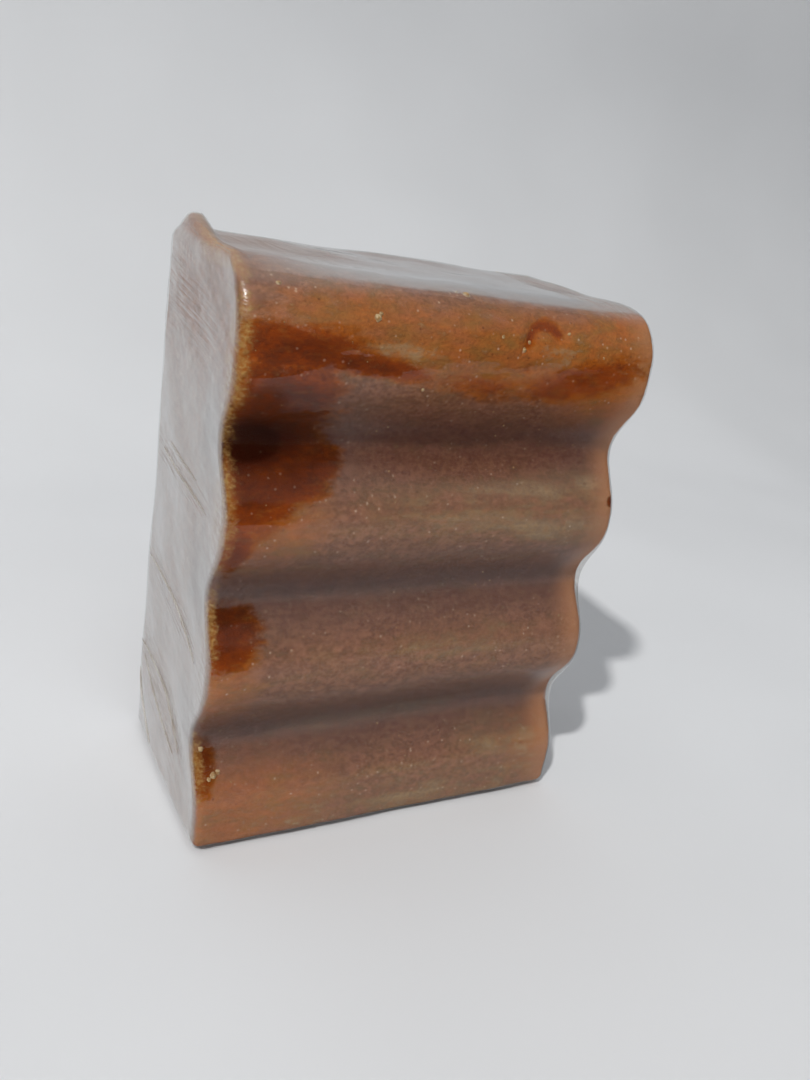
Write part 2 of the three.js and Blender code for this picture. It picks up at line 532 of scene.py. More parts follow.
@dataclass(frozen=True)
class JaggeryFinish:
    """Cast cane sugar: hazy under air, deep and wet where the film clings, ochre at worn edges, with painted
    shade in the grooves, under the lobes, along the base and deep in the wettest patches.
    """

    hazy: Colour = linear("946647")
    rosy: Colour = linear("9b694f")
    olive: Colour = linear("987549")
    pale: Colour = linear("c8ad86")
    clear: Colour = linear("b4652a")
    seep: Colour = linear("a25619")
    deep: Colour = linear("8a3b0f")
    darkest: Colour = linear("571a06")
    fibre: Colour = linear("986832")
    ochre: Colour = linear("b49158")
    rind: Colour = linear("96602b")
    glow: Colour = linear("b27a54")
    light_fleck: Colour = linear("c4a58a")
    dark_fleck: Colour = linear("59301f")
    # Painted shade: the colour and strengths of the shade painted into grooves, under the lobes, along the
    # base and deep in the wettest patches.
    hollow: Colour = linear("452a2a")
    groove_dark: float = 0.64
    under_dark: float = 0.10
    low_dark: float = 0.7
    deep_dark: float = 0.85
    flecks: tuple[Triple, ...] = ((1.1, 0.74, 0.14), (2.3, 0.84, 0.10))

    def make(self) -> bpy.types.Material:
        """Returns the material."""
        material, wiring, place = new_material("jaggery")
        coarse = wiring.mottle(place, (6.0, 6.0, 3.4), 2.0)
        middling = wiring.mottle(place, (2.0, 2.0, 1.3), 2.0)
        fine = wiring.mottle(place, (0.75, 0.75, 0.55), 2.0)
        clings = clinging(wiring, place)
        colour = self.dry(wiring, place, coarse, middling, fine)
        colour = tinted(wiring, clings * 0.94, colour, self.wet(wiring, place, coarse, middling))
        grain = (fine * 0.7 + middling * 0.8).ease(-1.0, 1.0)
        coarser = (1.0 - kept(wiring, "clear_sugar").ease(-0.4, 0.4)) * 0.3 + 0.34
        colour = tinted(wiring, grain * coarser, colour, self.dark_fleck)
        colour = self.flecked(wiring, place, colour, clings, fine)
        # Painted shade: grooves, undersides, the base and the wettest patches are darkened toward the painted
        # shade colour.
        colour = tinted(wiring, self.shade(wiring), colour, self.darkened(wiring, clings))
        colour = self.rimmed(wiring, place, colour, middling, fine)
        colour = tinted(wiring, kept(wiring, "lit_end") * (1.0 - clings) * 0.8, colour, self.glow)
        height = fine * 0.4 + middling * 0.3
        bump = wiring.add("ShaderNodeBump", {"Height": height, "Strength": 0.5, "Distance": 0.0003})
        feeds = {
            "Base Color": colour,
            "Roughness": (1.0 - clings) * 0.2 + 0.4,
            "Normal": bump.outputs[0],
            "Specular IOR Level": 0.02,
        }
        surface = wiring.add("ShaderNodeBsdfPrincipled", feeds)
        wiring.add("ShaderNodeOutputMaterial", {"Surface": surface.outputs[0]})
        return material

    def dry(
        self, wiring: Wiring, place: bpy.types.NodeSocket, coarse: Field, middling: Field, fine: Field
    ) -> bpy.types.NodeSocket:
        """Returns the colour where air lies over the sugar: level rosy and olive bands, pale in places,
        partly painted floor light along the bottom.

        Args:
            wiring: the material's wiring.
            place: each point's place, in millimetres.
            coarse: coarse mottling.
            middling: finer mottling.
            fine: the finest mottling.
        """
        bands = wiring.mottle(place, (26.0, 12.0, 2.6), 2.0)
        crumbled = coarse * 0.4 + middling * 0.7 + fine * 0.3
        colour = tinted(wiring, (coarse * 0.7 - bands * 0.4).ease(-0.8, 0.8), self.rosy, self.hazy)
        sandy = kept(wiring, "pale_crust") * 0.6 + bands * 0.8 + crumbled * 0.8
        colour = tinted(wiring, sandy.ease(-0.8, 1.2), colour, self.olive)
        clear = (kept(wiring, "clear_sugar") + coarse * 0.35 + bands * 0.3).ease(-0.6, 1.1)
        fibres = wiring.mottle(place, (4.5, 4.5, 1.4), 2.0)
        amber = tinted(wiring, (fibres * 0.6 + coarse * 0.7).ease(-0.7, 0.9), self.clear, self.fibre)
        browner = (middling * 0.6 - fibres * 0.5 - bands * 0.4).ease(0.0, 1.1)
        amber = tinted(wiring, browner * 0.6, amber, self.rind)
        colour = tinted(wiring, clear * 0.88, colour, amber)
        # The pale patches here are crusted sugar and, along the bottom, painted light from the floor.
        crusted = (kept(wiring, "pale_crust") + crumbled * 0.9 + bands * 0.4).ease(0.0, 1.5)
        loose = crumbled.ease(0.35, 1.3) * 0.5
        return tinted(wiring, (crusted * 0.8 + loose).clamped() * 0.75, colour, self.pale)

    def wet(
        self, wiring: Wiring, place: bpy.types.NodeSocket, coarse: Field, middling: Field
    ) -> bpy.types.NodeSocket:
        """Returns the colour where the film clings: orange at the patch's border, deep brown further in.

        Args:
            wiring: the material's wiring.
            place: each point's place, in millimetres.
            coarse: coarse mottling.
            middling: finer mottling.
        """
        inward = kept(wiring, "film_contact") + coarse * 0.22 + middling * 0.12
        colour = tinted(wiring, inward.ease(0.0, 0.6), self.seep, self.deep)
        colour = tinted(wiring, inward.ease(0.5, 1.4), colour, self.darkest)
        fibres = wiring.mottle(place, (3.6, 3.6, 1.0), 3.0)
        threads = (fibres + coarse * 0.5).ease(0.0, 1.3) * (1.0 - inward.ease(0.2, 1.0) * 0.7)
        return tinted(wiring, threads * 0.7, colour, self.fibre)

    def flecked(
        self,
        wiring: Wiring,
        place: bpy.types.NodeSocket,
        colour: bpy.types.NodeSocket,
        clings: Field,
        fine: Field,
    ) -> bpy.types.NodeSocket:
        """Returns the colour with light and dark flecks of sugar in it.

        Args:
            wiring: the material's wiring.
            place: each point's place, in millimetres.
            colour: the colour without them.
            clings: 1 where the film clings.
            fine: the finest mottling.
        """
        for size, light, dark in self.flecks:
            apart, pick = wiring.cells(place, size)
            dot = 1.0 - (apart + fine * 0.06).ease(0.08, 0.34)
            strength = dot * (1.0 - clings * 0.6)
            is_light = pick.ease(light, light + 0.2)
            is_dark = 1.0 - pick.ease(dark - 0.1, dark)
            colour = tinted(wiring, strength * is_light * 0.7, colour, self.light_fleck)
            colour = tinted(wiring, strength * is_dark * 0.6, colour, self.dark_fleck)
        return colour

    def rimmed(
        self,
        wiring: Wiring,
        place: bpy.types.NodeSocket,
        colour: bpy.types.NodeSocket,
        middling: Field,
        fine: Field,
    ) -> bpy.types.NodeSocket:
        """Returns the colour with the ochre of the worn edge and of the burr.

        Args:
            wiring: the material's wiring.
            place: each point's place, in millimetres.
            colour: the colour without it.
            middling: fine mottling.
            fine: the finest mottling.
        """
        broad = wiring.mottle(place, (9.0, 9.0, 5.0), 2.0)
        worn = (kept(wiring, "worn_rim") + broad * 0.16 + middling * 0.2 + fine * 0.14).ease(0.15, 0.95)
        crumbs = tinted(wiring, (fine * 0.6 + middling * 0.4).ease(-0.5, 0.8), self.rind, self.ochre)
        return tinted(wiring, worn * 0.75, colour, crumbs)

    def darkened(self, wiring: Wiring, clings: Field) -> bpy.types.NodeSocket:
        """Returns the colour of the painted shade in grooves, along the base and deep in the wettest patches:
        almost black red where the film clings.
        """
        return tinted(wiring, clings, self.hollow, tuple(part * 0.1 for part in self.darkest))

    def shade(self, wiring: Wiring) -> Field:
        """Returns how much painted shade a point gets: in a groove, more where the surface faces down, by the
        base and far inside a wet patch.
        """
        outward = wiring.add("ShaderNodeNewGeometry").outputs["Normal"]
        _, _, up = wiring.split(outward)
        under = (up * -1.0).ease(-0.15, 0.6) * self.under_dark
        grooved = kept(wiring, "groove") ** 0.8 * (self.groove_dark + under)
        low = (1.0 - kept(wiring, "height_up").ease(0.6, 1.6)) * self.low_dark
        deep = kept(wiring, "film_contact").ease(0.95, 1.5) * self.deep_dark
        return grooved.most(low).most(deep).clamped()


@dataclass(frozen=True)
class FilmFinish:
    """Thin clear shrink film: it doesn't bend what shows through, and mirrors more the flatter it is seen."""

    straight_on: float = 0.04
    layer_haze: float = 0.012
    loose_haze: float = 0.03
    fold_haze: float = 0.22
    clear_colour: Colour = (0.99, 0.99, 0.985)
    haze_colour: Colour = (0.78, 0.80, 0.79)
    stain: Colour = linear("ae8b76")
    loose_roughness: float = 0.32
    tight_roughness: float = 0.05

    def make(self) -> bpy.types.Material:
        """Returns the material."""
        material, wiring, place = new_material("clear_film")
        layers = kept(wiring, "film_layers")
        flat = 1.0 - layers.ease(0.6, 0.9)
        clings = clinging(wiring, place) * flat
        loose = (flat - clings).clamped()
        folds = self.folds(wiring, place)
        pressed = (folds * -1.0).clamped()
        stained = ((pressed * 0.8 + 0.2) * kept(wiring, "stained_folds")).clamped()
        normal = self.rippled(wiring, place, folds)
        single = self.single_mirror(wiring, normal)
        mirrored = 1.0 - (1.0 - single) ** clings.between(layers * 2.0, (layers * 2.4).least(1.0))
        mirrored = mirrored * (1.0 - pressed * 0.6) * (1.0 - stained * 0.6)
        milky = layers * (1.0 - clings) * self.layer_haze
        milky = milky + loose * (layers * 2.0).least(1.0) * self.loose_haze
        milky = (milky + kept(wiring, "film_haze")) * (1.0 - pressed * 0.6)
        milky = milky + folds.clamped() * self.fold_haze + stained * 0.5
        rough = loose * (self.loose_roughness - self.tight_roughness) + self.tight_roughness
        tint = tinted(wiring, stained, self.haze_colour, self.stain)
        through = wiring.add("ShaderNodeBsdfTransparent", {"Color": (*self.clear_colour, 1.0)})
        gloss = wiring.add("ShaderNodeBsdfGlossy", {"Roughness": rough, "Normal": normal})
        milk = wiring.add("ShaderNodeBsdfDiffuse", {"Color": tint})
        hazed = wiring.add("ShaderNodeMixShader", {0: milky, 1: through.outputs[0], 2: milk.outputs[0]})
        surface = wiring.add("ShaderNodeMixShader", {0: mirrored, 1: hazed.outputs[0], 2: gloss.outputs[0]})
        wiring.add("ShaderNodeOutputMaterial", {"Surface": surface.outputs[0]})
        return material

    def rippled(self, wiring: Wiring, place: bpy.types.NodeSocket, folds: Field) -> bpy.types.NodeSocket:
        """Returns the film's direction at each point, with its slow waves, fine folds and ripples.

        Args:
            wiring: the material's wiring.
            place: each point's place, in millimetres.
            folds: the fine folds.
        """
        waves = wiring.noise(place, (9.0, 9.0, 6.0), 2.0, 0.5)
        ripples = wiring.mottle(place, (2.5, 2.5, 0.7), 2.0) * kept(wiring, "film_ripple")
        height = waves * 1.2 + folds * 0.22 + ripples * 0.12
        bump = wiring.add("ShaderNodeBump", {"Height": height, "Strength": 0.5, "Distance": 0.0005})
        return bump.outputs[0]

    def single_mirror(self, wiring: Wiring, normal: bpy.types.NodeSocket) -> Field:
        """Returns the share of the light that one layer of film mirrors."""
        facing = wiring.add("ShaderNodeLayerWeight", {"Blend": 0.5, "Normal": normal}).outputs["Facing"]
        return Field(wiring, facing) ** 5.0 * (1.0 - self.straight_on) + self.straight_on

    def folds(self, wiring: Wiring, place: bpy.types.NodeSocket) -> Field:
        """Returns the fine folds of the film: above 0 where it is bunched, below 0 where it is pressed down.

        Args:
            wiring: the material's wiring.
            place: each point's place, in millimetres.
        """
        x, y, z = wiring.split(place)
        slope = (1.0 - z.ease(20.0, 60.0)) * 0.15 + 0.11
        across_end = wiring.vector(0.0, y, z - y * slope)
        across_top = wiring.vector(x + y * 0.06, y, 0.0)
        end = wiring.mottle(across_end, (20.0, 15.0, 0.55), 3.0) * kept(wiring, "end_folds")
        top = wiring.mottle(across_top, (0.6, 15.0, 20.0), 3.0) * kept(wiring, "top_folds")
        return (end + top).least(1.0)


@dataclass(frozen=True)
class Patch:
    """A patch of the front, in millimetres: its middle along X and Z, its half sizes, and its slope."""

    x: float
    z: float
    half_width: float
    half_height: float
    slope: float = 0.0
    strength: float = 1.0

    def inside(self, x: Field, z: Field) -> Field:
        """Returns the patch's strength in its middle, less and less away from it."""
        across = (x - self.x) / self.half_width
        up = (z - self.z - (x - self.x) * self.slope) / self.half_height
        return self.strength - across * across - up * up


def front_patches(tree: MeshTree, patches: tuple[Patch, ...]) -> Field:
    """Returns how far inside the nearest patch of the front each point is, and -1 away from the front."""
    x, y, z = tree.wiring.split(tree.position())
    outward_x, _, _ = tree.wiring.split(tree.normal())
    inside = patches[0].inside(x, z)
    for patch in patches[1:]:
        inside = inside.most(patch.inside(x, z))
    front = (1.0 - y.ease(-12.0, -6.0)) * (1.0 - abs(outward_x).ease(0.75, 0.97))
    return front.between(-1.0, inside.most(-1.0))


# Where the film clings to the sugar, as a darker wet look shows.
CLINGING = (
    Patch(-32.0, 95.3, 13.0, 4.4),
    Patch(-20.0, 93.6, 14.0, 2.2, -0.10),
    Patch(-33.0, 87.0, 12.0, 8.0),
    # This patch's strength of 1.7, and the 1.1 further down, also bring painted shade deep inside them.
    Patch(-36.5, 78.6, 10.5, 5.6, 0.0, 1.7),
    Patch(-35.5, 71.0, 10.0, 7.4, 0.25),
    Patch(-27.5, 73.6, 8.5, 5.0, 0.35),
    Patch(-38.5, 62.0, 3.2, 6.0),
    Patch(25.0, 93.0, 18.0, 4.4, 0.22, 0.75),
    Patch(2.0, 91.0, 16.0, 4.0, -0.06, 0.4),
    Patch(-40.5, 43.4, 9.6, 6.4, 0.14, 1.1),
    Patch(-40.3, 16.6, 3.6, 6.0),
    Patch(39.6, 68.5, 1.3, 1.1),
)

# Where the top lobe's film lies close, with little air under it.
CLOSE = (
    Patch(14.0, 97.0, 36.0, 7.0, 0.0, 1.1),
    Patch(-20.0, 99.0, 22.0, 7.0, 0.0, 0.7),
    Patch(38.0, 95.0, 18.0, 11.0, 0.0, 1.5),
)

# Where the sugar is clearer and more orange.
CLEAR = (
    *CLOSE,
    Patch(-36.0, 8.0, 26.0, 12.0, 0.0, 0.9),
    Patch(-39.0, 36.0, 8.0, 12.0),
    Patch(-34.0, 66.0, 12.0, 9.0),
    Patch(38.0, 12.0, 14.0, 12.0, 0.0, 0.4),
)

# Where the film's mirror and haze are turned down, as painted shade for the dark side of the room that the
# film mirrors there.
DIMMED_REFLECTION = (
    Patch(-32.0, 79.0, 13.0, 7.4, 0.0, 1.2),
    Patch(-36.0, 84.6, 6.0, 6.0),
    Patch(8.0, 86.0, 36.0, 9.0),
    Patch(6.0, 78.4, 36.0, 7.2),
    Patch(44.0, 95.0, 8.0, 12.0),
    Patch(28.0, 91.8, 17.0, 4.8, 0.22, 1.2),
    Patch(-41.5, 88.0, 3.6, 10.0, 0.0, 1.5),
)

# Where the film is folded level across each end, placed along Y and Z.
END_BUNDLES = (
    Patch(8.0, 95.0, 20.0, 9.0, 0.16),
    Patch(4.0, 65.5, 20.0, 4.0, 0.09, 1.2),
    Patch(3.0, 40.5, 20.0, 5.0, 0.2, 1.2),
    Patch(4.0, 17.0, 22.0, 9.0, 0.28, 1.2),
)

# Where the film is folded along the top, placed along X and Y.
TOP_BUNDLES = (
    Patch(34.0, 2.0, 6.5, 22.0, 0.0, 1.6),
    Patch(-27.0, 8.0, 14.0, 24.0, 0.0, 0.7),
)

# Where the sugar is crusted pale. The broad weak patch along the bottom is painted light from the bright
# floor, and the broad weak ones at the right only make the lobes paler there.
PALE_CRUST_AND_FLOOR_LIGHT = (
    Patch(18.0, 71.2, 15.0, 1.9),
    Patch(34.0, 72.0, 5.0, 1.6, 0.0, 1.2),
    Patch(2.0, 67.5, 22.0, 6.5, 0.0, 0.45),
    Patch(-14.0, 96.2, 10.0, 2.4, 0.0, 0.6),
    Patch(17.0, 97.2, 6.0, 2.6, 0.0, 0.6),
    Patch(10.0, 40.0, 20.0, 3.4, 0.0, 0.5),
    Patch(-4.0, 22.0, 26.0, 1.8, 0.03, 0.9),
    Patch(26.0, 66.0, 22.0, 9.0, 0.0, 0.55),
    # Painted light: the floor's light along the bottom of the front.
    Patch(6.0, 4.0, 44.0, 8.0, 0.0, 0.5),
    Patch(30.0, 12.0, 18.0, 8.0, 0.0, 0.5),
)


@dataclass
class JaggeryBlock:
    """The cast block itself, just inside the film."""

    sizes: CastSizes = CastSizes()
    lattice: Lattice = Lattice(136, 70, 178)
    finish: JaggeryFinish = JaggeryFinish()
    under_film: float = 0.22
    lump: float = 0.45
    grit: float = 0.16
    pit_depth: float = 0.5
    dent_x: float = 15.0
    dent_z: float = 97.9
    dent_radius: float = 3.9
    dent_half_breadth: float = 1.45
    dent_depth: float = 0.8
    ridge_start: float = 39.9
    ridge_half_width: float = 1.7
    chip_depth: float = 0.9
    chip_reach: float = 3.4
    worn_stretches: tuple[tuple[float, float], ...] = ((93.0, 15.0), (68.0, 9.0), (46.0, 6.0), (17.0, 4.5))
    pits: tuple[Patch, ...] = (
        Patch(-24.7, 68.7, 1.3, 1.3),
        Patch(-14.2, 62.4, 0.9, 0.9),
        Patch(6.2, 39.8, 0.9, 0.9),
        Patch(-4.2, 42.7, 1.3, 1.2),
        Patch(-25.8, 41.1, 0.9, 1.1),
        Patch(14.3, 35.8, 1.0, 1.0),
        Patch(16.6, 15.5, 0.9, 0.9),
        Patch(-36.6, 50.0, 1.8, 0.8, -0.8),
    )

    def build(self) -> bpy.types.Object:
        """Returns the block as a plain mesh."""
        inputs = {title(name): value for name, value in asdict(self.sizes).items()}
        inputs |= {"Under film": self.under_film, "Lump": self.lump, "Grit": self.grit}
        tree = MeshTree("cast_block", inputs)
        shape = CastShape(tree, self.sizes)
        wiring = tree.wiring
        box = shape.box(self.sizes, self.lattice)
        cast = wiring.add("GeometryNodeSetPosition", {"Geometry": box, "Position": shape.cast()})
        moved = wiring.add("GeometryNodeSetPosition", {"Geometry": cast.outputs[0]})
        wiring.feed(moved.inputs["Offset"], wiring.along(tree.normal(), self.relief(tree)))
        x, y, z = wiring.split(tree.position())
        forward = 1.0 - y.ease(-9.0, -4.0)
        contact = front_patches(tree, CLINGING).most(self.dent(x, y, z) * 1.9 - 0.85)
        geometry = tree.keep(moved.outputs[0], "film_contact", contact)
        geometry = tree.keep(geometry, "pale_crust", front_patches(tree, PALE_CRUST_AND_FLOOR_LIGHT))
        geometry = tree.keep(geometry, "clear_sugar", front_patches(tree, CLEAR))
        geometry = tree.keep(geometry, "groove", shape.groove_share(z) * forward)
        geometry = tree.keep(geometry, "worn_rim", (self.edge(tree) * self.wear(z)).most(self.ridge(tree)))
        geometry = tree.keep(geometry, "height_up", z)
        _, outward_y, _ = wiring.split(tree.normal())
        lit = (x - tree.sizes["Width"] * 0.5).ease(-9.0, -0.6) * (outward_y * -1.0).ease(0.0, 0.6) * forward
        geometry = tree.keep(geometry, "lit_end", lit)
        tree.finish(geometry, self.finish.make())
        return tree.run("jaggery")

    def relief(self, tree: MeshTree) -> Field:
        """Returns how far each point stands out from the cast form, in millimetres."""
        wiring, place = tree.wiring, tree.position()
        x, y, z = wiring.split(place)
        lumps = (wiring.noise(place, (8.0, 8.0, 5.0), 2.0) - 0.5) * tree.sizes["Lump"]
        grit = (wiring.noise(place, (1.5, 1.5, 1.3), 3.0, 0.6) - 0.5) * tree.sizes["Grit"]
        apart, pick = wiring.cells(place, 7.5)
        scattered = (1.0 - apart.ease(0.15, 0.9)) * pick.ease(0.62, 0.66)
        pits = scattered.most(front_patches(tree, self.pits).ease(0.0, 0.8)) * self.pit_depth
        chipped = wiring.noise(place, (1.6, 1.6, 1.8), 3.0, 0.7).ease(0.36, 0.70)
        chips = chipped * self.wear(z) * self.edge(tree) * self.chip_depth
        return lumps + grit - pits - chips - self.dent(x, y, z) - tree.sizes["Under film"]

    def edge(self, tree: MeshTree) -> Field:
        """Returns 1 along the worn left front edge, and 0 away from it."""
        x, y, z = tree.wiring.split(tree.position())
        beside = 1.0 - (x + tree.sizes["Width"] * 0.5).ease(0.6, self.chip_reach)
        forward = 1.0 - (y + tree.sizes["Depth"] * 0.5).ease(6.0, 10.5)
        return beside * forward * (1.0 - z.ease(101.0, 106.0)) * z.ease(0.5, 3.0)

    def wear(self, z: Field) -> Field:
        """Returns how much of the left front edge is worn at a height."""
        worn = ((z - self.worn_stretches[0][0]) / self.worn_stretches[0][1]).bell()
        for middle, half in self.worn_stretches[1:]:
            worn = worn.most(((z - middle) / half).bell())
        return worn * 0.75 + 0.25

    def ridge(self, tree: MeshTree) -> Field:
        """Returns 1 along the burr by the left end of the top, and 0 away from it."""
        x, y, z = tree.wiring.split(tree.position())
        inward = self.sizes.burr_back_inset - self.sizes.burr_front_inset
        middle = (y.most(0.0) / (tree.sizes["Depth"] * 0.5)) * inward - self.ridge_start
        return ((x - middle) / self.ridge_half_width).bell() * z.ease(103.5, 105.0)

    def dent(self, x: Field, y: Field, z: Field) -> Field:
        """Returns the depth of the crescent dent high on the right of the top lobe."""
        across, up = x - self.dent_x, z - self.dent_z
        away = (across * across + up * up).root() - self.dent_radius
        arc = (away / self.dent_half_breadth).bell() * (up * 0.97 - across * 0.26).ease(-0.6, 1.8)
        foot = (across + 3.4).bell() * ((up + 3.6) / 0.8).bell()
        front = 1.0 - y.ease(-8.0, -4.0)
        return (arc + foot * 0.8) * front * self.dent_depth


@dataclass
class ClearFilm:
    """The clear film, shrunk tight round the block."""

    sizes: CastSizes = CastSizes()
    lattice: Lattice = Lattice(96, 92, 186)
    finish: FilmFinish = FilmFinish()
    groove_bridge: float = 0.04
    end_bridge: float = 0.16
    gather_haze: float = 0.12
    gather_layers: float = 4.0
    end_haze: float = 0.22
    top_haze: float = 0.2
    top_start: float = -16.0
    end_reach: float = 4.0
    crease: float = 0.10
    seam_x: float = 7.0
    seam_half_width: float = 4.0
    seam_rise: float = 0.12
    nip: Patch = Patch(35.5, -16.6, 2.6, 1.8, -0.25)

    def build(self) -> bpy.types.Object:
        """Returns the film as a closed skin."""
        inputs = {title(name): value for name, value in asdict(self.sizes).items()}
        inputs |= {"Crease": self.crease, "Seam rise": self.seam_rise}
        tree = MeshTree("shrink_film", inputs)
        shape = CastShape(tree, self.sizes)
        wiring = tree.wiring
        box = shape.box(self.sizes, self.lattice)
        x, _, height = wiring.split(tree.position())
        near_end = (abs(x) - tree.sizes["Width"] * 0.5).ease(-self.end_reach, -0.5)
        low = 1.0 - (height + tree.sizes["Height"] * 0.5).ease(58.0, 68.0)
        bridged = near_end * x.ease(-1.0, 1.0).between(0.02, low * self.end_bridge) + self.groove_bridge
        cast = wiring.add("GeometryNodeSetPosition", {"Geometry": box, "Position": shape.cast(bridged)})
        moved = wiring.add("GeometryNodeSetPosition", {"Geometry": cast.outputs[0]})
        wiring.feed(moved.inputs["Offset"], wiring.along(tree.normal(), self.creases(tree)))
        tree.finish(self.marked(tree, shape, moved.outputs[0]), self.finish.make())
        return tree.run("film")

    def marked(self, tree: MeshTree, shape: CastShape, film: bpy.types.NodeSocket) -> bpy.types.NodeSocket:
        """Returns the film with the numbers that its material reads kept on its points.

        Args:
            tree: the film's tree.
            shape: the cast form in that tree.
            film: the film's skin.
        """
        wiring = tree.wiring
        x, y, z = wiring.split(tree.position())
        outward_x, _, _ = wiring.split(tree.normal())
        from_end = x - tree.sizes["Width"] * 0.5
        beside = 1.0 - outward_x.ease(0.7, 0.98)
        gathered = self.gathered(from_end, y, z) * shape.groove_share(z) * beside
        bare = from_end.ease(-2.6, -1.0) * (1.0 - y.ease(-12.0, -6.0)) * beside * 0.85
        haze = self.front_of_top(tree) * x.ease(-42.0, -20.0) * self.top_haze + gathered * self.gather_haze
        haze = haze + self.ends(tree) * (1.0 - z.ease(76.0, 94.0) * 0.8) * self.end_haze
        high = z.ease(tree.sizes["Height"] - 3.5, tree.sizes["Height"] - 2.0)
        sides = x.ease(26.0, 30.0) + (1.0 - x.ease(-26.0, -4.0)) * 0.9 + 0.15
        by_left_edge = (1.0 - (x + tree.sizes["Width"] * 0.5).ease(1.5, 4.0)) * (1.0 - y.ease(-19.0, -15.0))
        nipped = self.nip.inside(x, y).clamped() * z.ease(102.0, 103.0)
        marks = {
            "film_contact": front_patches(tree, CLINGING + CLOSE),
            "film_layers": self.layers(tree) * (1.0 - bare) + gathered * self.gather_layers,
            "film_haze": haze,
            "end_folds": (self.bundled(y, z, END_BUNDLES) * 0.75 + 0.12) * self.ends(tree),
            "top_folds": (self.bundled(x, y, TOP_BUNDLES) * 0.8 + 0.08) * high,
            "stained_folds": sides * high * (1.0 - y.ease(16.0, 22.0) * 0.5),
            "film_ripple": by_left_edge.most(nipped * 2.0),
        }
        for name, value in marks.items():
            film = tree.keep(film, name, value)
        return film

    @staticmethod
    def gathered(from_end: Field, y: Field, z: Field) -> Field:
        """Returns 1 where the film is gathered whitish low on the front's right edge, and 0 elsewhere."""
        return from_end.ease(-2.6, -0.8) * (1.0 - z.ease(58.0, 66.0)) * (1.0 - y.ease(-9.0, -4.0))

    @staticmethod
    def bundled(a: Field, b: Field, bundles: tuple[Patch, ...]) -> Field:
        """Returns how far inside one of the bundles of folds each point is, and 0 outside them all."""
        inside = bundles[0].inside(a, b)
        for bundle in bundles[1:]:
            inside = inside.most(bundle.inside(a, b))
        return inside.clamped()

    def ends(self, tree: MeshTree) -> Field:
        """Returns 1 on the two ends, and 0 elsewhere."""
        x, _, _ = tree.wiring.split(tree.normal())
        return abs(x).ease(0.62, 0.98)

    def creases(self, tree: MeshTree) -> Field:
        """Returns how far the film's fine creases and its seam stand out, in millimetres."""
        wiring = tree.wiring
        x, y, z = wiring.split(tree.position())
        slanted = wiring.vector(x * 0.5, (y + z * 0.15) / 16.0, (z - y * 0.15) / 2.2)
        feeds = {"Vector": slanted, "Scale": 1.0, "Detail": 2.0, "Roughness": 0.5}
        soft = Field(wiring, wiring.add("ShaderNodeTexNoise", feeds).outputs["Fac"])
        ridges = (1.0 - abs(soft - 0.5) * 9.0).most(0.0) * z.ease(80.0, 92.0)
        back = y.ease(tree.sizes["Depth"] * 0.5 - 1.2, tree.sizes["Depth"] * 0.5 - 0.4)
        return ridges * self.ends(tree) * tree.sizes["Crease"] + self.seam(x) * back * tree.sizes["Seam rise"]

    def seam(self, x: Field) -> Field:
        """Returns 1 where the film overlaps down the back, and 0 beside it."""
        return 1.0 - (abs(x - self.seam_x) - self.seam_half_width).ease(-0.4, 0.4)

    def front_of_top(self, tree: MeshTree) -> Field:
        """Returns 1 where the film leaves the nose and spans to the top, and 0 elsewhere."""
        x, y, z = tree.wiring.split(tree.position())
        wavy = tree.wiring.mottle(tree.position(), (5.0, 60.0, 60.0), 2.0) * 0.4
        start = (y + wavy).ease(self.top_start - 0.5, self.top_start + 0.5)
        high = z.ease(tree.sizes["Height"] - 6.0, tree.sizes["Height"] - 4.0)
        return start * high * (1.0 - y.ease(-12.0, 2.0)) * (x + tree.sizes["Width"] * 0.5).ease(2.5, 6.0)

    def layers(self, tree: MeshTree) -> Field:
        """Returns how many layers of film lie on each other, turned down as painted shade where the film
        mirrors the dark side of the room.
        """
        x, y, z = tree.wiring.split(tree.position())
        top = z.ease(tree.sizes["Height"] - 6.0, tree.sizes["Height"] - 1.5)
        back = y.ease(tree.sizes["Depth"] * 0.5 - 3.0, tree.sizes["Depth"] * 0.5 - 1.0)
        # Painted shade: the film mirrors and hazes less at the listed patches.
        dimmed = front_patches(tree, DIMMED_REFLECTION).ease(0.0, 0.9)
        burr = z.ease(106.3, 107.3)
        end = self.ends(tree) * (1.2 - z.ease(80.0, 96.0) * 0.3)
        inward = x.ease(-37.0, -8.0)
        laid = end + top * (inward * 0.2 + 0.3) + back * (self.seam(x) * 0.7 + 0.3) + 0.48
        laid = laid + self.front_of_top(tree) * (inward * 0.6 + 0.5)
        return laid * (1.0 - dimmed * 0.9) * (1.0 - burr * 0.5) * (z.ease(0.6, 2.4) * 0.85 + 0.15)


@dataclass(frozen=True)
class PleatFinish:
    """Film folded several times on itself, brownish where sugar shows through."""

    colour: Colour = linear("a69888")
    bright: Colour = linear("cfcac2")

    def make(self) -> bpy.types.Material:
        """Returns the material."""
        material, wiring, place = new_material("folded_film")
        streak = wiring.noise(place, (6.0, 6.0, 6.0), 1.0).ease(0.3, 0.7)
        bump = wiring.add("ShaderNodeBump", {"Height": streak, "Strength": 0.1, "Distance": 0.0002})
        feeds = {
            "Base Color": tinted(wiring, streak, self.colour, self.bright),
            "Roughness": streak * 0.1 + 0.15,
            "Normal": bump.outputs[0],
        }
        film = wiring.add("ShaderNodeBsdfPrincipled", feeds)
        through = wiring.add("ShaderNodeBsdfTransparent", {"Color": (0.97, 0.96, 0.95, 1.0)})
        surface = wiring.add("ShaderNodeMixShader", {0: 0.36, 1: through.outputs[0], 2: film.outputs[0]})
        wiring.add("ShaderNodeOutputMaterial", {"Surface": surface.outputs[0]})
        return material


